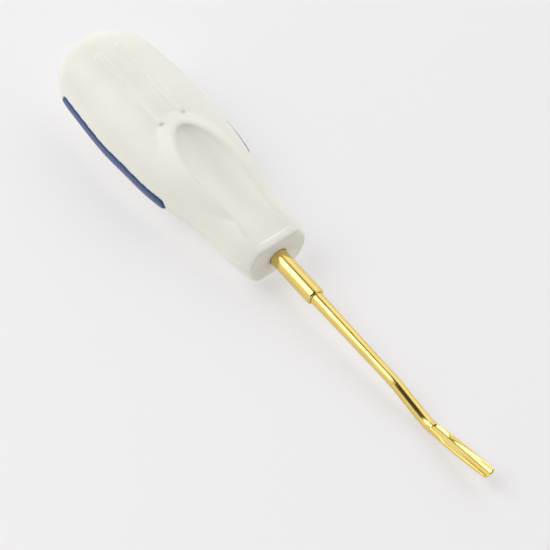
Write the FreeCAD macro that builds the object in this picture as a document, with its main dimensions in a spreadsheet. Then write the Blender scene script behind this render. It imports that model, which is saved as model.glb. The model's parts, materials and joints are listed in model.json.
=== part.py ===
import FreeCAD, Part
import math
import os

import Sketcher

# Elevator with a moulded thumb-rest handle. Tool frame of every sub-part: X runs along the
# shank towards the tip, Z points up through the thumb scoop, and the origin is the centre
# of the handle's front face. place_at_rest() lays the finished tool on its ribs and heel.

VECTOR = FreeCAD.Vector
FLAT_TOL = 1e-4
MESH_TOL = 0.01

# Driving dimensions, in millimetres and degrees. Stations are distances behind the front face.
DIMENSIONS = {
    # handle envelope: station, half width and half height of each section
    "nose_half_width": 7.6,
    "nose_half_height": 7.6,
    "grip_station": 12,
    "grip_half_width": 9.5,
    "grip_half_height": 7.6,
    "waist_station": 24,
    "waist_half_width": 11.6,
    "waist_half_height": 7.8,
    "shoulder_station": 33,
    "shoulder_half_width": 13.1,
    "shoulder_half_height": 8.35,
    "bulb_front_station": 43,
    "bulb_front_half_width": 13.6,
    "bulb_front_half_height": 9.1,
    "bulb_mid_station": 53.5,
    "bulb_mid_half_width": 13.5,
    "bulb_mid_half_height": 9.2,
    "bulb_rear_station": 63.5,
    "bulb_rear_half_width": 12.8,
    "bulb_rear_half_height": 8.85,
    "dome_length": 11.8,
    "wall_thickness": 2.4,
    "moulding_clearance": 0.05,
    "nose_edge_radius": 0.6,
    # thumb rest: a sloping plane across a raised rim, with a scoop sunk in it
    "rim_front_height": 5.5,
    "rim_slope": 6.3,
    "rim_width": 0.7,
    "rim_nose_station": 1,
    "rim_nose_half_width": 7,
    "rim_nose_half_height": 7.85,
    "rim_fore_station": 12,
    "rim_fore_half_width": 8,
    "rim_fore_half_height": 8.95,
    "rim_middle_station": 25,
    "rim_middle_half_width": 10.5,
    "rim_middle_half_height": 10.05,
    "rim_rear_station": 31,
    "rim_rear_half_width": 10.6,
    "rim_rear_half_height": 10.15,
    "rim_apex_half_width": 10,
    "rim_end_station": 45,
    "rim_end_half_width": 8.5,
    "rim_end_half_height": 8.3,
    "scoop_land": 2,
    "scoop_front_half_width": 4.3,
    "scoop_front_depth": 0.5,
    "scoop_fore_station": 12,
    "scoop_fore_half_width": 4.4,
    "scoop_fore_depth": 1.3,
    "scoop_middle_station": 25,
    "scoop_middle_half_width": 5.2,
    "scoop_middle_depth": 2,
    "scoop_rear_station": 36.5,
    # grip ribs on the bulb
    "rib_front_station": 39,
    "rib_length": 25.4,
    "rib_width": 1.5,
    "rib_spacing": 6,
    "rib_height": 9.5,
    "rib_edge_radius": 0.55,
    # coloured inlays in both flanks
    "inlay_front_station": 26,
    "inlay_length": 38.8,
    "inlay_half_height": 1.5,
    "inlay_depth": 1.2,
    "inlay_proud": 0.3,
    "inlay_clearance": 0.05,
    "inlay_drop": 0.6,
    # structural core
    "core_front_station": 9,
    "core_tongue_station": 39,
    "core_tongue_half_height": 3.2,
    # collar and its seal
    "collar_radius": 2.18,
    "collar_reach": 13.4,
    "collar_tail": 8.5,
    "collar_flange_radius": 3.2,
    "collar_flange_width": 1.4,
    "collar_chamfer": 0.3,
    "collar_bore_clearance": 0.01,
    "collar_seat_clearance": 0.05,
    "seal_station": 2.4,
    "seal_section_radius": 0.5,
    "seal_clearance": 0.03,
    # locating pins moulded in the half shells
    "locator_station": 4.5,
    "locator_offset": 5.3,
    "locator_radius": 0.8,
    "locator_height": 1.6,
    "locator_clearance": 0.05,
    # blade, shank and tang
    "shank_radius": 1.6,
    "shank_neck_radius": 1.34,
    "shank_neck_station": 34,
    "shank_bend_start": 40,
    "shank_drop_angle": 10,
    "shank_drop_length": 11,
    "shank_bend_radius": 14,
    "heel_bend_radius": 6.5,
    "blade_rise_angle": 16.8,
    "blade_length": 19.2,
    "blade_half_width": 1.55,
    "blade_root": 2.6,
    "blade_swell_length": 6.8,
    "blade_swell_half_height": 1.15,
    "blade_tip_half_width": 1.42,
    "blade_tip_half_height": 0.88,
    "blade_flat_height": 0.45,
    "channel_radius": 1.4,
    "channel_tilt": 3.5,
    "channel_length": 17,
    "channel_floor": 0.5,
    "tang_length": 40,
    "tang_half_thickness": 1.25,
    "tang_clearance": 0.04,
    # cross pins through the core and the tang
    "pin_radius": 0.8,
    "pin_length": 5.6,
    "pin_front_station": 15,
    "pin_rear_station": 33,
    "pin_clearance": 0.01,
}

SECTIONS = ("nose", "grip", "waist", "shoulder", "bulb_front", "bulb_mid", "bulb_rear")
DOME_FRACTIONS = (0.4, 0.7, 0.88, 0.97, 0.995)
ARCH_FRACTIONS = (0.5, 0.8, 0.95, 0.995)

doc = FreeCAD.newDocument("elevator")
dims = doc.addObject("Spreadsheet::Sheet", "Dims")
for row, (alias, number) in enumerate(DIMENSIONS.items(), start=1):
    dims.set(f"A{row}", alias)
    dims.set(f"B{row}", str(number))
    dims.setAlias(f"B{row}", alias)
doc.recompute()


def size(alias):
    """A driving dimension's number, for the guesses that sketches start from."""
    return float(dims.get(alias))


def new_body(label):
    body = doc.addObject("PartDesign::Body", label)
    body.Label = label
    return body


def bind(target, **expressions):
    """Bind properties, given with __ for a dot, to expressions over the sheet's aliases."""
    for path, expression in expressions.items():
        target.setExpression(path.replace("__", "."), expression)


def sketch_on(body, name, role, **offset):
    """A sketch on one of the body's origin planes, moved by an expression on each axis."""
    plane = next(f for f in body.Origin.OriginFeatures if f.Role == role)
    sketch = body.newObject("Sketcher::SketchObject", name)
    sketch.AttachmentSupport = [(plane, "")]
    sketch.MapMode = "FlatFace"
    for axis, expression in offset.items():
        sketch.setExpression(f"AttachmentOffset.Base.{axis}", expression)
    return sketch


def constrain(sketch, expression, *rule):
    """Add a dimensional constraint whose value follows the sheet."""
    index = sketch.addConstraint(Sketcher.Constraint(*rule))
    sketch.setExpression(f"Constraints[{index}]", expression)


def join(sketch, *pairs):
    for first, first_end, second, second_end in pairs:
        sketch.addConstraint(Sketcher.Constraint("Coincident", first, first_end, second, second_end))


def half_ellipse(sketch, half_width, half_height, width_guess, height_guess):
    """The upper half of an ellipse closed along its horizontal diameter."""
    wide = width_guess >= height_guess
    if wide:
        ellipse = Part.Ellipse(VECTOR(width_guess, 0, 0), VECTOR(0, height_guess, 0), VECTOR())
        arc = Part.ArcOfEllipse(ellipse, 0, math.pi)
    else:
        ellipse = Part.Ellipse(VECTOR(0, height_guess, 0), VECTOR(-width_guess, 0, 0), VECTOR())
        arc = Part.ArcOfEllipse(ellipse, -math.pi / 2, math.pi / 2)
    sketch.addGeometry([arc, Part.LineSegment(arc.EndPoint, arc.StartPoint)], False)
    join(sketch, (0, 3, -1, 1), (0, 2, 1, 1), (1, 2, 0, 1))
    for end in (1, 2):
        sketch.addConstraint(Sketcher.Constraint("PointOnObject", 0, end, -1))
    sketch.exposeInternalGeometry(0)
    major, minor = 2, 3
    sketch.addConstraint(Sketcher.Constraint("Horizontal" if wide else "Vertical", major))
    across, up = (major, minor) if wide else (minor, major)
    constrain(sketch, f"2 * ({half_width})", "Distance", across, 2 * width_guess)
    constrain(sketch, f"2 * ({half_height})", "Distance", up, 2 * height_guess)


def envelope(body, name, skin, skin_guess):
    """Half of the handle's outer form, thicker by the skin all round, as a smooth loft."""
    sketches = []
    for section in SECTIONS:
        station = "0" if section == "nose" else f"-Dims.{section}_station"
        sketch = sketch_on(body, f"{name}_{section}", "YZ_Plane", z=station)
        half_ellipse(
            sketch,
            f"Dims.{section}_half_width + {skin}",
            f"Dims.{section}_half_height + {skin}",
            size(f"{section}_half_width") + skin_guess,
            size(f"{section}_half_height") + skin_guess,
        )
        sketches.append(sketch)
    for number, fraction in enumerate(DOME_FRACTIONS):
        share = math.sqrt(1 - fraction**2)
        station = f"-Dims.bulb_rear_station - (Dims.dome_length + {skin}) * {fraction}"
        sketch = sketch_on(body, f"{name}_dome_{number}", "YZ_Plane", z=station)
        half_ellipse(
            sketch,
            f"(Dims.bulb_rear_half_width + {skin}) * {share}",
            f"(Dims.bulb_rear_half_height + {skin}) * {share}",
            (size("bulb_rear_half_width") + skin_guess) * share,
            (size("bulb_rear_half_height") + skin_guess) * share,
        )
        sketches.append(sketch)
    loft = body.newObject("PartDesign::AdditiveLoft", name)
    loft.Profile = sketches[0]
    loft.Sections = sketches[1:]
    return loft


def ellipse_outline(sketch, height, half_width, half_height):
    """A whole ellipse, wider than it is tall, centred at a height on the upright axis."""
    centre = VECTOR(0, evaluate(height), 0)
    width, tall = evaluate(half_width), evaluate(half_height)
    ellipse = Part.Ellipse(centre + VECTOR(width, 0, 0), centre + VECTOR(0, tall, 0), centre)
    sketch.addGeometry(ellipse, False)
    pin_point(sketch, 0, 3, ("0", height))
    sketch.exposeInternalGeometry(0)
    sketch.addConstraint(Sketcher.Constraint("Horizontal", 1))
    constrain(sketch, f"2 * ({half_width})", "Distance", 1, 2 * width)
    constrain(sketch, f"2 * ({half_height})", "Distance", 2, 2 * tall)


def mirror_below(body, feature):
    """Repeat a feature below the split plane."""
    mirrored = body.newObject("PartDesign::Mirrored", feature.Name + "_below")
    mirrored.Originals = [feature]
    plane = next(f for f in body.Origin.OriginFeatures if f.Role == "XY_Plane")
    mirrored.MirrorPlane = (plane, [""])
    body.Tip = mirrored
    return mirrored


def polygon(sketch, points):
    """A closed outline of straight lines; each corner is pinned to (x, y) expressions."""
    guesses = [VECTOR(*(evaluate(e) for e in point), 0) for point in points]
    count = len(points)
    for i in range(count):
        sketch.addGeometry(Part.LineSegment(guesses[i], guesses[(i + 1) % count]), False)
    join(sketch, *((i, 2, (i + 1) % count, 1) for i in range(count)))
    for i, point in enumerate(points):
        pin_point(sketch, i, 1, point)


def evaluate(expression):
    """The number that an expression over the sheet stands for."""
    return float(dims.evalExpression(str(expression).replace("Dims.", "")))


def pin_point(sketch, geometry, end, point):
    """Pin a point to expressions for its distances from the sketch's origin."""
    for rule, expression in zip(("DistanceX", "DistanceY"), point):
        constrain(sketch, str(expression), rule, -1, 1, geometry, end, evaluate(expression))


def extrude(body, kind, name, sketch, **settings):
    """A Pad or Pocket of a sketch. Expression settings are strings, others plain values."""
    feature = body.newObject(f"PartDesign::{kind}", name)
    feature.Profile = sketch
    for key, value in settings.items():
        if isinstance(value, str) and value.startswith("="):
            feature.setExpression(key, value[1:])
        else:
            setattr(feature, key, value)
    return feature


def boolean(body, kind, tool):
    feature = body.newObject("PartDesign::Boolean", f"{kind}_{tool.Name}")
    feature.Type = kind
    feature.setObjects([tool])
    return feature


def round_edges(body, name, base, radius, wanted):
    """Fillet the edges of the base feature that pass a test on their bounding box."""
    doc.recompute()
    chosen = [f"Edge{i}" for i, edge in enumerate(base.Shape.Edges, start=1) if wanted(edge)]
    if not chosen:
        raise RuntimeError(f"{name} finds no edge to round")
    fillet = body.newObject("PartDesign::Fillet", name)
    fillet.Base = (base, chosen)
    fillet.setExpression("Radius", radius)
    return fillet


# Outlines shared by pieces that fit each other


def slot_outline(sketch, centre, half_length, half_width):
    """A closed slot along the sketch's X with round ends, centred on (x, y) expressions."""
    x, y = evaluate(centre[0]), evaluate(centre[1])
    radius = evaluate(half_width)
    reach = evaluate(half_length) - radius
    base = sketch.GeometryCount
    ends = [(x + reach, -math.pi / 2, math.pi / 2), (x - reach, math.pi / 2, 3 * math.pi / 2)]
    arcs = []
    for centre_x, start, stop in ends:
        circle = Part.Circle(VECTOR(centre_x, y, 0), VECTOR(0, 0, 1), radius)
        arcs.append(Part.ArcOfCircle(circle, start, stop))
    top = Part.LineSegment(arcs[0].EndPoint, arcs[1].StartPoint)
    bottom = Part.LineSegment(arcs[1].EndPoint, arcs[0].StartPoint)
    sketch.addGeometry([*arcs, top, bottom], False)
    right, left, upper, lower = range(base, base + 4)
    for first, first_end, second, second_end in (
        (right, 2, upper, 1),
        (upper, 2, left, 1),
        (left, 2, lower, 1),
        (lower, 2, right, 1),
    ):
        sketch.addConstraint(Sketcher.Constraint("Tangent", first, first_end, second, second_end))
    sketch.addConstraint(Sketcher.Constraint("Horizontal", upper))
    constrain(sketch, str(half_width), "Radius", right, radius)
    pin_point(sketch, right, 3, (f"({centre[0]}) + ({half_length}) - ({half_width})", centre[1]))
    far = f"({centre[0]}) - ({half_length}) + ({half_width})"
    constrain(sketch, far, "DistanceX", -1, 1, left, 3, x - reach)


def arc_between(centre, start, stop):
    """The shorter arc about a centre, counterclockwise as a sketch wants it, and which of
    its ends is the start."""
    angles = [math.atan2(p.y - centre.y, p.x - centre.x) for p in (start, stop)]
    forward = (angles[1] - angles[0]) % (2 * math.pi) < math.pi
    circle = Part.Circle(centre, VECTOR(0, 0, 1), (start - centre).Length)
    first, last = angles if forward else reversed(angles)
    return Part.ArcOfCircle(circle, first, last), 1 if forward else 2


def circle_outline(sketch, centre, radius):
    number = sketch.addGeometry(Part.Circle(VECTOR(evaluate(centre[0]), evaluate(centre[1]), 0),
                                            VECTOR(0, 0, 1), evaluate(radius)), False)
    constrain(sketch, str(radius), "Radius", number, evaluate(radius))
    pin_point(sketch, number, 3, centre)


def box_outline(sketch, low, high):
    """An upright rectangle between two corners of (x, y) expressions."""
    polygon(sketch, [low, (high[0], low[1]), high, (low[0], high[1])])


def turn(body, name, points):
    """A solid of revolution about the X axis; points run along the profile."""
    sketch = sketch_on(body, f"{name}_profile", "XZ_Plane")
    polygon(sketch, points)
    solid = body.newObject("PartDesign::Revolution", name)
    solid.Profile = sketch
    solid.ReferenceAxis = (sketch, ["H_Axis"])
    solid.Angle = 360
    return solid


BIG = 60  # reaches past every side of the handle


def past(sign=""):
    return f"{sign}{BIG}"


# Handle


def rim_plane(station):
    """The height of the thumb rest's sloping plane at a station, as an expression."""
    return f"(Dims.rim_front_height + ({station}) * tan(Dims.rim_slope))"


def thumb_rim(label):
    """A swelling of the upper side whose top the sloping plane cuts to a pointed arch."""
    body = new_body(label)
    apex = "(Dims.scoop_rear_station + Dims.rim_width)"
    sections = [
        (f"Dims.rim_{name}_station", f"Dims.rim_{name}_half_width", f"Dims.rim_{name}_half_height")
        for name in ("nose", "fore", "middle", "rear", "end")
    ]
    sections.insert(4, (apex, "Dims.rim_apex_half_width", rim_plane(apex)))
    sketches = []
    for number, (station, half_width, half_height) in enumerate(sections):
        sketch = sketch_on(body, f"{label}_section_{number}", "YZ_Plane", z=f"-{station}")
        half_ellipse(sketch, half_width, half_height, evaluate(half_width), evaluate(half_height))
        sketches.append(sketch)
    loft = body.newObject("PartDesign::AdditiveLoft", f"{label}_form")
    loft.Profile = sketches[0]
    loft.Sections = sketches[1:]
    return body


def thumb_scoop(label):
    """What the scoop removes: a long dish, hollow from side to side, with a pointed rear end."""
    body = new_body(label)
    sections = [
        ("Dims.scoop_land", "Dims.scoop_front_half_width", "Dims.scoop_front_depth"),
        ("Dims.scoop_fore_station", "Dims.scoop_fore_half_width", "Dims.scoop_fore_depth"),
        ("Dims.scoop_middle_station", "Dims.scoop_middle_half_width", "Dims.scoop_middle_depth"),
    ]
    for fraction in ARCH_FRACTIONS:
        share = math.sqrt(1 - fraction**2)
        run = f"(Dims.scoop_rear_station - Dims.scoop_middle_station) * {fraction}"
        sections.append((
            f"(Dims.scoop_middle_station + {run})",
            f"Dims.scoop_middle_half_width * {share}",
            f"Dims.scoop_middle_depth * {share}",
        ))
    # each section is an ellipse centred as far above the plane as the dish is deep, so its
    # width at the plane is cos 30 of its whole width
    widen = 1 / math.cos(math.radians(30))
    sketches = []
    for number, (station, half_width, depth) in enumerate(sections):
        sketch = sketch_on(body, f"{label}_section_{number}", "YZ_Plane", z=f"-{station}")
        ellipse_outline(sketch, depth, f"{half_width} * {widen}", f"2 * {depth}")
        sketches.append(sketch)
    loft = body.newObject("PartDesign::AdditiveLoft", f"{label}_form")
    loft.Profile = sketches[0]
    loft.Sections = sketches[1:]
    bind(
        body,
        Placement__Base__z="Dims.rim_front_height",
        Placement__Rotation__Angle="Dims.rim_slope",
    )
    body.Placement = FreeCAD.Placement(
        VECTOR(0, 0, size("rim_front_height")), FreeCAD.Rotation(VECTOR(0, 1, 0), size("rim_slope"))
    )
    return body


def core_form(label, clearance):
    """The core's outer form, or with a clearance the cavity that the half shells leave for it."""
    body = new_body(label)
    skin = f"{clearance} - Dims.wall_thickness"
    half = envelope(body, f"{label}_half", skin, evaluate(skin))
    mirror_below(body, half)
    front = sketch_on(body, f"{label}_front_outline", "XZ_Plane")
    edge = f"{clearance} - Dims.core_front_station"
    box_outline(front, (edge, past("-")), (past(), past()))
    extrude(body, "Pocket", f"{label}_front", front, SideType="Symmetric", Length=2 * BIG)
    step = f"-Dims.core_tongue_station + {clearance}"
    for side, sign in (("upper", ""), ("lower", "-")):
        tongue = sketch_on(body, f"{label}_{side}_outline", "XZ_Plane")
        face = f"{sign}(Dims.core_tongue_half_height + {clearance})"
        corners = [(step, face), (past(), past(sign))]
        box_outline(tongue, *(corners if side == "upper" else ((step, past(sign)), (past(), face))))
        extrude(body, "Pocket", f"{label}_{side}", tongue, SideType="Symmetric", Length=2 * BIG)
    return body


def inlay_blank(label, clearance, height):
    """The slot-shaped bar, through both flanks, that an inlay or its groove is cut from."""
    body = new_body(label)
    outline = sketch_on(body, f"{label}_outline", "XZ_Plane")
    slot_outline(
        outline,
        ("-Dims.inlay_front_station - Dims.inlay_length / 2", height),
        f"Dims.inlay_length / 2 + {clearance}",
        f"Dims.inlay_half_height + {clearance}",
    )
    extrude(body, "Pad", f"{label}_bar", outline, SideType="Symmetric", Length=2 * BIG)
    return body


def full_envelope(label, skin):
    """The whole outer form of the handle, thicker by the skin, as a tool for booleans."""
    body = new_body(label)
    half = envelope(body, f"{label}_half", skin, evaluate(skin))
    mirror_below(body, half)
    return body


def inlay_grooves(label, height):
    """What both inlay grooves remove from a half shell."""
    body = inlay_blank(label, "Dims.inlay_clearance", height)
    inside = full_envelope(f"{label}_floor", "-Dims.inlay_depth - Dims.inlay_clearance")
    boolean(body, "Cut", inside)
    return body


def side_inlay(label, side):
    """A coloured strip set in one flank, a little proud of it."""
    body = inlay_blank(label, "0", "-Dims.inlay_drop")
    boolean(body, "Common", full_envelope(f"{label}_skin", "Dims.inlay_proud"))
    boolean(body, "Cut", full_envelope(f"{label}_floor", "-Dims.inlay_depth"))
    other = sketch_on(body, f"{label}_other_side", "XZ_Plane")
    box_outline(other, (past("-") + " * 2", past("-")), (past(), past()))
    extrude(body, "Pocket", f"{label}_single", other, Reversed=side == "left", Length=BIG)
    return body


def half_shell(label, inlay_height):
    """One of two handle halves. They differ only in how far each reaches over the inlays,
    which sit a little below the split; the lower one is modelled turned over."""
    body = new_body(label)
    envelope(body, f"{label}_outer", "0", 0)
    boolean(body, "Fuse", thumb_rim(f"{label}_rim"))
    below = sketch_on(body, f"{label}_below_split", "XY_Plane")
    box_outline(below, (past("-") + " * 2", past("-")), (past(), past()))
    extrude(body, "Pocket", f"{label}_split", below, Length=BIG)
    plane = sketch_on(body, f"{label}_rim_plane", "XZ_Plane")
    end = "Dims.scoop_rear_station + Dims.rim_width"
    polygon(plane, [
        (f"-({end})", rim_plane(end)),
        ("1", rim_plane("-1")),
        ("1", past()),
        (f"-({end})", past()),
    ])
    extrude(body, "Pocket", f"{label}_rim_trim", plane, SideType="Symmetric", Length=2 * BIG)
    scooped = boolean(body, "Cut", thumb_scoop(f"{label}_scoop"))
    round_edges(body, f"{label}_nose_edge", scooped, "Dims.nose_edge_radius",
                lambda edge: on_front_face(edge) and not on_split(edge))
    ribs = sketch_on(body, f"{label}_rib_outline", "XY_Plane", z="Dims.core_tongue_half_height")
    for sign in ("", "-"):
        slot_outline(
            ribs,
            ("-Dims.rib_front_station - Dims.rib_length / 2", f"{sign}Dims.rib_spacing / 2"),
            "Dims.rib_length / 2",
            "Dims.rib_width / 2",
        )
    pad = extrude(body, "Pad", f"{label}_ribs", ribs,
                  Length="=Dims.rib_height - Dims.core_tongue_half_height")
    top = size("rib_height")
    round_edges(body, f"{label}_rib_edges", pad, "Dims.rib_edge_radius",
                lambda edge: abs(edge.BoundBox.ZMin - top) < FLAT_TOL)
    boolean(body, "Cut", core_form(f"{label}_cavity", "Dims.moulding_clearance"))
    boolean(body, "Cut", inlay_grooves(f"{label}_grooves", inlay_height))
    boolean(body, "Cut", collar_seat(f"{label}_collar_seat"))
    locators(body, label)
    return body


def on_front_face(edge):
    return abs(edge.BoundBox.XMin) < FLAT_TOL and abs(edge.BoundBox.XMax) < FLAT_TOL


def on_split(edge):
    return abs(edge.BoundBox.ZMax) < FLAT_TOL


def locators(body, label):
    """A pin on one side of the nose and a socket on the other, so that the halves interlock."""
    pin = sketch_on(body, f"{label}_locator_outline", "XY_Plane")
    circle_outline(pin, ("-Dims.locator_station", "Dims.locator_offset"), "Dims.locator_radius")
    extrude(body, "Pad", f"{label}_locator", pin, Reversed=True, Length="=Dims.locator_height")
    socket = sketch_on(body, f"{label}_socket_outline", "XY_Plane")
    circle_outline(socket, ("-Dims.locator_station", "-Dims.locator_offset"),
                   "Dims.locator_radius + Dims.locator_clearance")
    extrude(body, "Pocket", f"{label}_socket", socket, Reversed=True,
            Length="=Dims.locator_height + Dims.locator_clearance")


def handle_core(label):
    """The stiff insert that fills the half shells and grips the tang."""
    body = core_form(label, "0")
    bore = sketch_on(body, f"{label}_bore_outline", "YZ_Plane", z="-Dims.tang_length - Dims.tang_clearance")
    circle_outline(bore, ("0", "0"), "Dims.shank_radius + Dims.tang_clearance")
    extrude(body, "Pocket", f"{label}_bore", bore, Reversed=True, Length=BIG)
    holes = sketch_on(body, f"{label}_pin_outline", "XY_Plane", z=past("-"))
    for station in ("front", "rear"):
        circle_outline(holes, (f"-Dims.pin_{station}_station", "0"),
                       "Dims.pin_radius + Dims.pin_clearance")
    extrude(body, "Pocket", f"{label}_pin_holes", holes, Reversed=True, Length=2 * BIG)
    return body


# Collar, seal and pins


def collar_seat(label):
    """The stepped bore that holds the collar and its seal, as a tool for booleans."""
    body = new_body(label)
    play = "Dims.collar_seat_clearance"
    bore = f"Dims.collar_radius + {play}"
    flange = f"Dims.collar_flange_radius + {play}"
    flange_front = f"Dims.collar_flange_width - Dims.collar_tail + {play}"
    turn(body, f"{label}_bore", [
        (past("-") + " / 6", "0"),
        ("5", "0"),
        ("5", bore),
        (flange_front, bore),
        (flange_front, flange),
        (past("-") + " / 6", flange),
    ])
    groove = sketch_on(body, f"{label}_seal_profile", "XZ_Plane")
    half = "Dims.seal_section_radius + Dims.seal_clearance"
    outer = "Dims.collar_radius + 2 * Dims.seal_section_radius + 2 * Dims.seal_clearance"
    box_outline(groove, (f"-Dims.seal_station - ({half})", "0"), (f"-Dims.seal_station + {half}", outer))
    cut = body.newObject("PartDesign::Revolution", f"{label}_seal_groove")
    cut.Profile = groove
    cut.ReferenceAxis = (groove, ["H_Axis"])
    return body


def collar(label):
    """The plated sleeve on the shank, with a flange that the half shells trap."""
    body = new_body(label)
    bore = "Dims.shank_radius + Dims.collar_bore_clearance"
    bevel = "Dims.collar_chamfer"
    turn(body, f"{label}_sleeve", [
        ("-Dims.collar_tail", bore),
        ("Dims.collar_reach", bore),
        ("Dims.collar_reach", f"Dims.collar_radius - {bevel}"),
        (f"Dims.collar_reach - {bevel}", "Dims.collar_radius"),
        ("Dims.collar_flange_width - Dims.collar_tail", "Dims.collar_radius"),
        ("Dims.collar_flange_width - Dims.collar_tail", "Dims.collar_flange_radius"),
        ("-Dims.collar_tail", "Dims.collar_flange_radius"),
    ])
    return body


def nose_seal(label):
    """The elastomer ring between the collar and the handle."""
    body = new_body(label)
    section = sketch_on(body, f"{label}_section", "XZ_Plane")
    centre = "Dims.collar_radius + Dims.seal_section_radius + Dims.seal_clearance"
    circle_outline(section, ("-Dims.seal_station", centre), "Dims.seal_section_radius")
    ring = body.newObject("PartDesign::Revolution", f"{label}_ring")
    ring.Profile = section
    ring.ReferenceAxis = (section, ["H_Axis"])
    return body


def tang_pin(label, station):
    """A cross pin that locks the tang in the core."""
    body = new_body(label)
    outline = sketch_on(body, f"{label}_outline", "XY_Plane")
    circle_outline(outline, (f"-Dims.pin_{station}_station", "0"), "Dims.pin_radius")
    pad = extrude(body, "Pad", f"{label}_rod", outline, SideType="Symmetric",
                  Length="=Dims.pin_length")
    doc.recompute()
    bevel = body.newObject("PartDesign::Chamfer", f"{label}_ends")
    bevel.Base = (pad, [f"Edge{i}" for i, e in enumerate(pad.Shape.Edges, 1) if e.Closed])
    bevel.setExpression("Size", "Dims.pin_radius / 5")
    return body


# Blade


def blade_and_shank(label):
    """The one-piece working end: flatted tang, tapered shank, double bend and gouge."""
    body = new_body(label)
    neck = "Dims.shank_neck_radius"
    turn(body, f"{label}_bar", [
        ("-Dims.tang_length", "0"),
        ("Dims.shank_neck_station", "0"),
        ("Dims.shank_neck_station", neck),
        ("Dims.collar_reach", "Dims.shank_radius"),
        ("-Dims.tang_length", "Dims.shank_radius"),
    ])
    for side, sign in (("upper", ""), ("lower", "-")):
        flat = sketch_on(body, f"{label}_{side}_flat_outline", "XZ_Plane")
        face = f"{sign}Dims.tang_half_thickness"
        low, high = (face, past()) if side == "upper" else (past("-"), face)
        box_outline(flat, (past("-"), low), ("-Dims.core_front_station", high))
        extrude(body, "Pocket", f"{label}_{side}_flat", flat, SideType="Symmetric", Length=2 * BIG)
    drill = sketch_on(body, f"{label}_pin_outline", "XY_Plane", z=past("-"))
    for station in ("front", "rear"):
        circle_outline(drill, (f"-Dims.pin_{station}_station", "0"),
                       "Dims.pin_radius + Dims.pin_clearance")
    extrude(body, "Pocket", f"{label}_pin_holes", drill, Reversed=True, Length=2 * BIG)
    bent_neck(body, label)
    gouge(body, label)
    return body


def heel():
    """Where the straight drop meets the blade's axis, as (x, z) expressions."""
    return (
        "(Dims.shank_bend_start + Dims.shank_drop_length * cos(Dims.shank_drop_angle))",
        "(-Dims.shank_drop_length * sin(Dims.shank_drop_angle))",
    )


def blade_point(along, above):
    """A place measured from the heel, along the rising blade and square to it."""
    heel_x, heel_z = heel()
    rise = "Dims.blade_rise_angle"
    return (
        f"{heel_x} + ({along}) * cos({rise}) - ({above}) * sin({rise})",
        f"{heel_z} + ({along}) * sin({rise}) + ({above}) * cos({rise})",
    )


def rounded_path(sketch, corners, radii):
    """Straight runs through the corners, joined by tangent arcs of the given radii."""
    points = [VECTOR(evaluate(x), evaluate(y), 0) for x, y in corners]
    starts, stops, arcs = [points[0]], [], []
    for before, corner, after, radius in zip(points, points[1:], points[2:], radii):
        back, ahead = (before - corner).normalize(), (after - corner).normalize()
        half_turn = (math.pi - back.getAngle(ahead)) / 2
        reach = evaluate(radius) * math.tan(half_turn)
        centre = corner + (back + ahead).normalize() * (evaluate(radius) / math.cos(half_turn))
        stops.append(corner + back * reach)
        starts.append(corner + ahead * reach)
        arcs.append(arc_between(centre, stops[-1], starts[-1]))
    stops.append(points[-1])
    for start, stop in zip(starts, stops):
        sketch.addGeometry(Part.LineSegment(start, stop), False)
    for run, ((arc, first), corner, radius) in enumerate(zip(arcs, corners[1:], radii)):
        number = sketch.addGeometry(arc, False)
        sketch.addConstraint(Sketcher.Constraint("Tangent", run, 2, number, first))
        sketch.addConstraint(Sketcher.Constraint("Tangent", number, 3 - first, run + 1, 1))
        constrain(sketch, radius, "Radius", number, evaluate(radius))
        mark = sketch.addGeometry(Part.Point(points[run + 1]), True)
        pin_point(sketch, mark, 1, corner)
        for line in (run, run + 1):
            sketch.addConstraint(Sketcher.Constraint("PointOnObject", mark, 1, line))
    pin_point(sketch, 0, 1, corners[0])
    pin_point(sketch, len(stops) - 1, 2, corners[-1])


def bent_neck(body, label):
    """The neck swept down and then up again, through arcs, to the blade's root."""
    path = sketch_on(body, f"{label}_path", "XZ_Plane")
    corners = [
        ("Dims.shank_neck_station", "0"),
        ("Dims.shank_bend_start", "0"),
        heel(),
        blade_point("Dims.blade_root", "0"),
    ]
    rounded_path(path, corners, ["Dims.shank_bend_radius", "Dims.heel_bend_radius"])
    section = sketch_on(body, f"{label}_neck_outline", "YZ_Plane", z="Dims.shank_neck_station")
    circle_outline(section, ("0", "0"), "Dims.shank_neck_radius")
    pipe = body.newObject("PartDesign::AdditivePipe", f"{label}_neck")
    pipe.Profile = section
    pipe.Spine = path


def blade_section(body, name, along, half_width, half_height):
    """A sketch square to the blade with its section; a single size makes it round."""
    x, z = blade_point(along, "0")
    sketch = sketch_on(body, name, "YZ_Plane", y=z, z=x)
    tilt_across(sketch, "-Dims.blade_rise_angle")
    if half_height is None:
        circle_outline(sketch, ("0", "0"), half_width)
        return sketch
    ellipse_outline(sketch, "0", half_width, half_height)
    return sketch


def tilt_across(sketch, angle):
    """Turn a sketch about its own X axis by an expression."""
    offset = sketch.AttachmentOffset
    offset.Rotation = FreeCAD.Rotation(VECTOR(1, 0, 0), evaluate(angle))
    sketch.AttachmentOffset = offset
    sketch.setExpression("AttachmentOffset.Rotation.Angle", angle)


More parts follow.
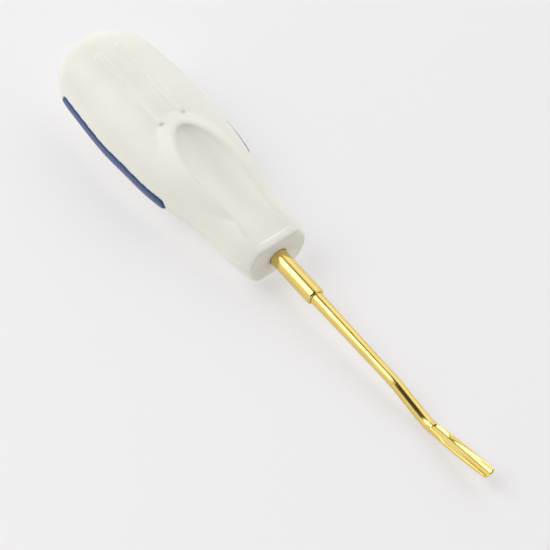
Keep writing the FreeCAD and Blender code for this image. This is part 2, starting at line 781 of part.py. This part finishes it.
def gouge(body, label):
    """The blade: swells from the neck, ground flat on top, with a channel to a round tip."""
    root = blade_section(body, f"{label}_root", "Dims.blade_root", "Dims.shank_neck_radius", None)
    swell = blade_section(body, f"{label}_swell", "Dims.blade_swell_length",
                          "Dims.blade_half_width", "Dims.blade_swell_half_height")
    tip = blade_section(body, f"{label}_tip", "Dims.blade_length",
                        "Dims.blade_tip_half_width", "Dims.blade_tip_half_height")
    form = body.newObject("PartDesign::AdditiveLoft", f"{label}_form")
    form.Profile = root
    form.Sections = [swell, tip]
    flat = sketch_on(body, f"{label}_flat_outline", "XZ_Plane")
    polygon(flat, [
        blade_point("Dims.blade_root - 1", "Dims.shank_neck_radius * 1.2"),
        blade_point("Dims.blade_swell_length", "Dims.blade_flat_height"),
        blade_point("Dims.blade_length + 2", "Dims.blade_flat_height"),
        blade_point("Dims.blade_length + 2", "10"),
        blade_point("Dims.blade_root - 1", "10"),
    ])
    extrude(body, "Pocket", f"{label}_flat", flat, SideType="Symmetric", Length=BIG)
    height = "(Dims.channel_radius + Dims.channel_floor - Dims.blade_tip_half_height)"
    x, z = blade_point("Dims.blade_length", height)
    channel = sketch_on(body, f"{label}_channel_outline", "YZ_Plane", y=z, z=x)
    tilt_across(channel, "Dims.channel_tilt - Dims.blade_rise_angle")
    circle_outline(channel, ("0", "0"), "Dims.channel_radius")
    extrude(body, "Pocket", f"{label}_channel", channel, SideType="Symmetric",
            Length="=2 * Dims.channel_length")
    round_tip(body, label)


def round_tip(body, label):
    """Cut the corners off the tip to a semicircle, seen from above."""
    sketch = sketch_on(body, f"{label}_tip_outline", "XY_Plane", z=past("-"))
    radius = "Dims.blade_half_width"
    tip_x = blade_point("Dims.blade_length", "0")[0]
    centre_x = f"{tip_x} - {radius}"
    circle = Part.Circle(VECTOR(evaluate(centre_x), 0, 0), VECTOR(0, 0, 1), evaluate(radius))
    sketch.addGeometry(Part.ArcOfCircle(circle, -math.pi / 2, math.pi / 2), False)
    corners = [(centre_x, radius), (centre_x, "5"), (f"{tip_x} + 5", "5"),
               (f"{tip_x} + 5", "-5"), (centre_x, "-5"), (centre_x, f"-{radius}")]
    points = [VECTOR(evaluate(px), evaluate(py), 0) for px, py in corners]
    for start, stop in zip(points, points[1:]):
        sketch.addGeometry(Part.LineSegment(start, stop), False)
    join(sketch, (0, 2, 1, 1), (5, 2, 0, 1), *((i, 2, i + 1, 1) for i in range(1, 5)))
    pin_point(sketch, 0, 3, (centre_x, "0"))
    for line, corner in enumerate(corners[:5], start=1):
        pin_point(sketch, line, 1, corner)
    sketch.addConstraint(Sketcher.Constraint("Vertical", 5))
    extrude(body, "Pocket", f"{label}_tip_round", sketch, Reversed=True, Length=2 * BIG)


# Assembly


def check_and_write(parts):
    doc.recompute()
    for item in doc.Objects:
        if "Invalid" in item.State or "Error" in item.State:
            raise RuntimeError(f"{item.Label} did not compute: {item.State}")
    os.makedirs("parts", exist_ok=True)
    for body in parts:
        shape = body.Shape
        if shape.isNull() or not shape.isValid() or not shape.Solids:
            raise RuntimeError(f"{body.Label} has no valid solid")
        shape.exportStep(f"parts/{body.Label}.step")
        print(f"{body.Label}: {len(shape.Solids)} solid, {shape.Volume:.2f} mm3")


def surface_points(body):
    return body.Shape.tessellate(MESH_TOL)[0]


def lowest(points, tilt):
    """The lowest height of some points once they are turned nose down by the tilt."""
    return min(point.z * math.cos(tilt) - point.x * math.sin(tilt) for point in points)


def rest_tilt(handle, blade):
    """The nose-down angle, in radians, at which the lower ribs and the heel share one level."""
    low, high = 0.0, math.radians(15)
    for _ in range(30):
        middle = (low + high) / 2
        if lowest(handle, middle) < lowest(blade, middle):
            low = middle
        else:
            high = middle
    return high


def place_at_rest(parts, lower_shell, blade):
    """Lay the tool on its ribs and heel, with the box's centre over the origin."""
    doc.recompute()
    lower_shell.Placement = FreeCAD.Placement(VECTOR(), FreeCAD.Rotation(VECTOR(1, 0, 0), 180))
    angle = rest_tilt(surface_points(lower_shell), surface_points(blade))
    tilt = FreeCAD.Placement(VECTOR(), FreeCAD.Rotation(VECTOR(0, 1, 0), math.degrees(angle)))
    for body in parts:
        body.Placement = tilt * body.Placement
    points = [point for body in parts for point in surface_points(body)]
    along = [point.x for point in points]
    shift = VECTOR(-(min(along) + max(along)) / 2, 0, -min(point.z for point in points))
    for body in parts:
        body.Placement.Base = body.Placement.Base + shift
    print(f"rest tilt {math.degrees(angle):.3f} deg, front face centre at {shift}")


upper_shell = half_shell("handle_upper_shell", "-Dims.inlay_drop")
lower_shell = half_shell("handle_lower_shell", "Dims.inlay_drop")
blade = blade_and_shank("blade_and_shank")
parts = [
    upper_shell,
    lower_shell,
    side_inlay("side_inlay_left", "left"),
    side_inlay("side_inlay_right", "right"),
    handle_core("handle_core"),
    collar("collar"),
    nose_seal("nose_seal"),
    tang_pin("tang_pin_front", "front"),
    tang_pin("tang_pin_rear", "rear"),
    blade,
]
place_at_rest(parts, lower_shell, blade)
check_and_write(parts)
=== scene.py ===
import bpy
import json
import math
from mathutils import Matrix, Vector


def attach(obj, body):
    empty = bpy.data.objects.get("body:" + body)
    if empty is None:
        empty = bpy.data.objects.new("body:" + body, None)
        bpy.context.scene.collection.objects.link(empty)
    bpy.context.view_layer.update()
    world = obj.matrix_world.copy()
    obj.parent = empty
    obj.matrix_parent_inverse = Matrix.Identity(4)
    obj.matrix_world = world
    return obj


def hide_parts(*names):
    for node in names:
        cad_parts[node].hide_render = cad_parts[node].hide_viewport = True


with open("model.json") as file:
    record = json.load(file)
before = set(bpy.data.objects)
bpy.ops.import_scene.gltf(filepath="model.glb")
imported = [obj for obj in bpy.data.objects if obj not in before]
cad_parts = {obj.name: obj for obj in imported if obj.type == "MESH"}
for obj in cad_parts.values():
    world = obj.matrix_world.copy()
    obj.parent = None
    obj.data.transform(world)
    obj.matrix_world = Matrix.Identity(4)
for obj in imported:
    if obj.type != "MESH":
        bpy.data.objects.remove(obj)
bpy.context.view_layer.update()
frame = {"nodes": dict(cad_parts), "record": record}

nodes = frame["nodes"]
bpy.ops.object.select_all(action="DESELECT")

# ---------------------------------------------------------------- handle shells
# The grip is two shells moulded in warm white satin plastic, alike top and bottom. They
# meet on a flat split along the sides, and every edge comes out of the mould soft.


class Socket:
    """One value or colour inside a finish. Arithmetic on it adds Math nodes."""

    def __init__(self, tree, link=None):
        self.tree = tree
        self.link = link

    def node(self, kind, settings, inputs, output=0):
        made = self.tree.nodes.new("ShaderNode" + kind)
        for name, value in settings.items():
            setattr(made, name, value)
        for name, value in inputs.items():
            if isinstance(value, Socket):
                self.tree.links.new(value.link, made.inputs[name])
            else:
                made.inputs[name].default_value = value
        return Socket(self.tree, made.outputs[output])

    def math(self, operation, first, second):
        return self.node("Math", {"operation": operation}, {0: first, 1: second})

    def __add__(self, other):
        return self.math("ADD", self, other)

    def __sub__(self, other):
        return self.math("SUBTRACT", self, other)

    def __rsub__(self, other):
        return self.math("SUBTRACT", other, self)

    def __mul__(self, other):
        return self.math("MULTIPLY", self, other)

    __radd__ = __add__
    __rmul__ = __mul__


def new_finish(name):
    """A material, a start socket to add nodes from, and its shader."""
    material = bpy.data.materials.new(name)
    material.use_nodes = True
    tree = material.node_tree
    return material, Socket(tree), tree.nodes["Principled BSDF"]


def feed(shader, name, wire):
    """Join a worked-out value or colour to one input of the shader."""
    wire.tree.links.new(wire.link, shader.inputs[name])


def ramp(wire, low, high):
    """0 below low and 1 above high, with a smooth rise between."""
    settings = {"interpolation_type": "SMOOTHSTEP"}
    return wire.node("MapRange", settings, {"Value": wire, "From Min": low, "From Max": high})


def tint(factor, first, second):
    """The first colour where the factor is 0 and the second where it is 1."""
    settings = {"data_type": "RGBA"}
    return factor.node("Mix", settings, {0: factor, 6: first, 7: second}, output=2)


def noise(start, place, scale, detail):
    """Soft cloudy noise from 0 to 1 over a piece."""
    inputs = {"Vector": place, "Scale": scale, "Detail": detail, "Roughness": 0.55}
    return start.node("TexNoise", {}, inputs)


satin_white, start, shader = new_finish("satin_white")
place = start.node("TexCoord", {}, {}, output=3)
cloud = noise(start, place, 60.0, 3.0)
spark = noise(start, place, 9000.0, 2.0)
smudge = noise(start, place, 220.0, 4.0)
feed(shader, "Base Color", tint(ramp(cloud, 0.3, 0.7), (0.87, 0.86, 0.775, 1), (0.90, 0.89, 0.81, 1)))
feed(shader, "Roughness", 0.36 + 0.08 * ramp(smudge, 0.35, 0.7) + 0.03 * spark)
grain = start.node("Bump", {}, {"Strength": 0.12, "Distance": 0.00002, "Height": spark})
feed(shader, "Normal", grain)
shader.inputs["IOR"].default_value = 1.49
shader.inputs["Subsurface Weight"].default_value = 0.08
shader.inputs["Subsurface Radius"].default_value = (0.0012, 0.001, 0.0008)


# the split plane holds the shank's axis, and lies nose down with the resting tool
front = next(m for m in frame["record"]["mounts"] if m["name"] == "front_face")
grip = next(m for m in frame["record"]["mounts"] if m["name"] == "collar_grip")
nose_down = math.atan2(-front["axis"][2], front["axis"][0])
laid_down = Matrix.Translation(grip["pos_m"]) @ Matrix.Rotation(nose_down, 4, "Y")


def merged_copy(node, name):
    """A new piece with a CAD node's shape, its points merged, as the only thing selected."""
    piece = bpy.data.objects.new(name, nodes[node].data.copy())
    bpy.context.scene.collection.objects.link(piece)
    bpy.ops.object.select_all(action="DESELECT")
    bpy.context.view_layer.objects.active = piece
    piece.select_set(True)
    bpy.ops.object.mode_set(mode="EDIT")
    bpy.ops.mesh.select_all(action="SELECT")
    bpy.ops.mesh.remove_doubles(threshold=0.000002)
    bpy.ops.object.mode_set(mode="OBJECT")
    return piece


def finish_piece(piece, node, material):
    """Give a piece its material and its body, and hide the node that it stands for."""
    piece.data.materials.clear()
    piece.data.materials.append(material)
    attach(piece, "root")
    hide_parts(node)


def soften(piece, voxel, passes, keep, seam):
    """Rebuild a piece with a fine even mesh and round its corners a little.

    Points closer to the split plane than the seam width move less, and those on it stay,
    so that two pieces which meet there still meet.
    """
    piece.data.transform(laid_down.inverted())
    remesh = piece.modifiers.new("remesh", "REMESH")
    remesh.mode = "VOXEL"
    remesh.voxel_size = voxel
    bpy.ops.object.modifier_apply(modifier="remesh")
    loose = piece.vertex_groups.new(name="loose")
    for point in piece.data.vertices:
        loose.add([point.index], min(1.0, abs(point.co.z) / seam), "REPLACE")
    smooth = piece.modifiers.new("smooth", "SMOOTH")
    smooth.factor = 0.5
    smooth.iterations = passes
    smooth.vertex_group = "loose"
    bpy.ops.object.modifier_apply(modifier="smooth")
    piece.vertex_groups.clear()
    if keep < 1:
        thin = piece.modifiers.new("thin", "DECIMATE")
        thin.ratio = keep
        bpy.ops.object.modifier_apply(modifier="thin")
    piece.data.transform(laid_down)
    bpy.ops.object.shade_smooth()


shell_voxel = 0.0002
shell_passes = 12
shell_share_kept = 0.6
shell_seam = 0.0006
for side in ("upper", "lower"):
    node = f"handle_{side}_shell"
    shell = merged_copy(node, f"shell_{side}")
    soften(shell, shell_voxel, shell_passes, shell_share_kept, shell_seam)
    finish_piece(shell, node, satin_white)

# ---------------------------------------------------------------- side inlays
# A slim stripe of dark blue plastic is let into a groove along each side of the grip,
# across the split line. It is moulded on its own, and its edges are eased so that they
# don't catch a glove.

inlay_blue, start, shader = new_finish("inlay_blue")
place = start.node("TexCoord", {}, {}, output=3)
cloud = noise(start, place, 120.0, 3.0)
spark = noise(start, place, 7000.0, 2.0)
feed(shader, "Base Color", tint(ramp(cloud, 0.3, 0.7), (0.022, 0.068, 0.20, 1), (0.028, 0.08, 0.23, 1)))
feed(shader, "Roughness", 0.34 + 0.10 * ramp(cloud, 0.35, 0.7))
feed(shader, "Normal", start.node("Bump", {}, {"Strength": 0.12, "Distance": 0.00002, "Height": spark}))

strip_edge = 0.00012
sharp_edge = math.radians(40)
smooth_edge = math.radians(35)
for side in ("left", "right"):
    node = f"side_inlay_{side}"
    strip = merged_copy(node, f"inlay_{side}")
    bevel = strip.modifiers.new("bevel", "BEVEL")
    bevel.width = strip_edge
    bevel.segments = 3
    bevel.angle_limit = sharp_edge
    bpy.ops.object.modifier_apply(modifier="bevel")
    bpy.ops.object.shade_smooth_by_angle(angle=smooth_edge)
    finish_piece(strip, node, inlay_blue)

# ---------------------------------------------------------------- blade, shank and collar
# The blade and shank are one forged and ground steel bar. With the turned collar they are
# polished along their length, then coated with hard gold-coloured nitride.

gold_coat, start, shader = new_finish("gold_coat")
place = start.node("TexCoord", {}, {}, output=3)
stretched = start.node("Mapping", {}, {"Vector": place, "Scale": (120.0, 2600.0, 2600.0)})
brush = noise(start, stretched, 1.0, 4.0)
cloud = noise(start, place, 160.0, 3.0)
feed(shader, "Base Color", tint(ramp(cloud, 0.3, 0.7), (0.75, 0.57, 0.18, 1), (0.81, 0.62, 0.21, 1)))
shader.inputs["Metallic"].default_value = 1.0
feed(shader, "Roughness", 0.13 + 0.06 * ramp(cloud, 0.4, 0.7) + 0.06 * brush)
feed(shader, "Normal", start.node("Bump", {}, {"Strength": 0.15, "Distance": 0.00002, "Height": brush}))

# neither piece is split, so nearly all of their points are free to move
bar_voxel = 0.00012
bar_passes = 12
bar_seam = 0.00001
for node, name in (("blade_and_shank", "blade"), ("collar", "ferrule")):
    bar = merged_copy(node, name)
    soften(bar, bar_voxel, bar_passes, 1, bar_seam)
    finish_piece(bar, node, gold_coat)

# ---------------------------------------------------------------- inside the grip
# A glass-filled nylon core clamps the tang, two steel pins lock it, and a rubber ring
# seals the collar where it leaves the nose.

core_nylon, start, shader = new_finish("core_nylon")
place = start.node("TexCoord", {}, {}, output=3)
cloud = noise(start, place, 900.0, 4.0)
feed(shader, "Base Color", tint(ramp(cloud, 0.3, 0.7), (0.10, 0.10, 0.11, 1), (0.16, 0.16, 0.17, 1)))
feed(shader, "Roughness", 0.5 + 0.15 * cloud)
feed(shader, "Normal", start.node("Bump", {}, {"Strength": 0.2, "Distance": 0.00003, "Height": cloud}))

seal_rubber, start, shader = new_finish("seal_rubber")
place = start.node("TexCoord", {}, {}, output=3)
cloud = noise(start, place, 1500.0, 4.0)
feed(shader, "Base Color", tint(ramp(cloud, 0.3, 0.7), (0.012, 0.012, 0.013, 1), (0.03, 0.03, 0.032, 1)))
feed(shader, "Roughness", 0.62 + 0.15 * cloud)
feed(shader, "Normal", start.node("Bump", {}, {"Strength": 0.2, "Distance": 0.00003, "Height": cloud}))

plain_steel, start, shader = new_finish("plain_steel")
place = start.node("TexCoord", {}, {}, output=3)
stretched = start.node("Mapping", {}, {"Vector": place, "Scale": (4000.0, 4000.0, 300.0)})
brush = noise(start, stretched, 1.0, 4.0)
feed(shader, "Base Color", tint(brush, (0.50, 0.50, 0.51, 1), (0.62, 0.62, 0.63, 1)))
shader.inputs["Metallic"].default_value = 1.0
feed(shader, "Roughness", 0.25 + 0.15 * brush)
feed(shader, "Normal", start.node("Bump", {}, {"Strength": 0.2, "Distance": 0.00002, "Height": brush}))

inside = {
    "handle_core": (core_nylon, "core_nylon"),
    "nose_seal": (seal_rubber, "seal_rubber"),
    "tang_pin_front": (plain_steel, "plain_steel"),
    "tang_pin_rear": (plain_steel, "plain_steel"),
}
for node, (material, finish) in inside.items():
    nodes[node].data.materials.clear()
    nodes[node].data.materials.append(material)

# ---------------------------------------------------------------- table, light and camera
# The elevator lies on a plain pale table that glows a little, as a light table does. Two
# wide soft lights stand over it, one beyond it and one behind the bulb, in a pale room.

table_drop = 0.00002
bpy.ops.mesh.primitive_plane_add(size=6.0, location=(0.0, 0.0, -table_drop))
floor = bpy.context.object
floor.name = "floor"
floor_paint, start, shader = new_finish("floor_paint")
place = start.node("TexCoord", {}, {}, output=3)
cloud = noise(start, place, 5.0, 3.0)
feed(shader, "Base Color", tint(cloud, (0.44, 0.435, 0.44, 1), (0.46, 0.455, 0.46, 1)))
feed(shader, "Roughness", 0.5 + 0.1 * cloud)
shader.inputs["Emission Color"].default_value = (0.44, 0.435, 0.44, 1)
shader.inputs["Emission Strength"].default_value = 1.0
floor.data.materials.append(floor_paint)


def soft_light(name, place, aim, width, height, power):
    """A rectangular area light that faces the point it is aimed at."""
    lamp = bpy.data.lights.new(name, "AREA")
    lamp.shape = "RECTANGLE"
    lamp.size = width
    lamp.size_y = height
    lamp.energy = power
    holder = bpy.data.objects.new(name, lamp)
    holder.location = place
    holder.rotation_euler = (Vector(aim) - Vector(place)).to_track_quat("-Z", "Y").to_euler()
    bpy.context.scene.collection.objects.link(holder)


soft_light("key_light", (-0.10, 0.62, 0.62), (0.0, 0.0, 0.0), 0.60, 0.40, 0.2)
soft_light("rear_light", (-0.45, -0.38, 0.70), (0.0, 0.0, 0.0), 0.70, 0.70, 4.0)

# the room is pale all round, with a dark patch behind the camera, a dark seam overhead that
# runs along the tool, and a grey curtain low on the side of the bulb
turn = math.radians(51.88)
tilt = math.radians(52.71)
away = Vector((math.sin(turn) * math.cos(tilt), -math.cos(turn) * math.cos(tilt), math.sin(tilt)))
curtain_side = (-0.80, -0.44, 0.41)
seam_offset = 0.04
world = bpy.data.worlds.new("room")
bpy.context.scene.world = world
world.use_nodes = True
start = Socket(world.node_tree)
look = start.node("TexCoord", {}, {}, output=0)
dot = {"operation": "DOT_PRODUCT"}
facing = start.node("VectorMath", dot, {0: look, 1: tuple(away)}, output=1)
dark = ramp(facing, 0.66, 0.80)
height = start.node("SeparateXYZ", {}, {0: look}, output=2)
across = start.node("SeparateXYZ", {}, {0: look}, output=1) - seam_offset
clear_of_seam = ramp(start.math("ABSOLUTE", across, 0.0), 0.09, 0.26)
walls = tint(ramp(height, 0.0, 0.6), (0.92, 0.92, 0.93, 1), (1.0, 1.0, 1.0, 1))
aside = start.node("VectorMath", dot, {0: look, 1: curtain_side}, output=1)
curtain = tint(ramp(aside, 0.84, 0.93), walls, (0.50, 0.49, 0.48, 1))
tent = tint(clear_of_seam, (0.20, 0.19, 0.18, 1), curtain)
feed(world.node_tree.nodes["Background"], "Color", tint(dark, tent, (0.05, 0.045, 0.04, 1)))
world.node_tree.nodes["Background"].inputs["Strength"].default_value = 1.10

bpy.context.scene.view_settings.view_transform = "Standard"

lens = bpy.data.cameras.new("camera")
lens.lens = 122.2
lens.sensor_width = 36.0
lens.clip_start = 0.01
eye = bpy.data.objects.new("camera", lens)
aim = Vector((0.00224, -0.00048, 0.0))
distance = 0.416
eye.location = aim + away * distance
eye.rotation_euler = (-away).to_track_quat("-Z", "Y").to_euler()
bpy.context.scene.collection.objects.link(eye)
bpy.context.scene.camera = eye
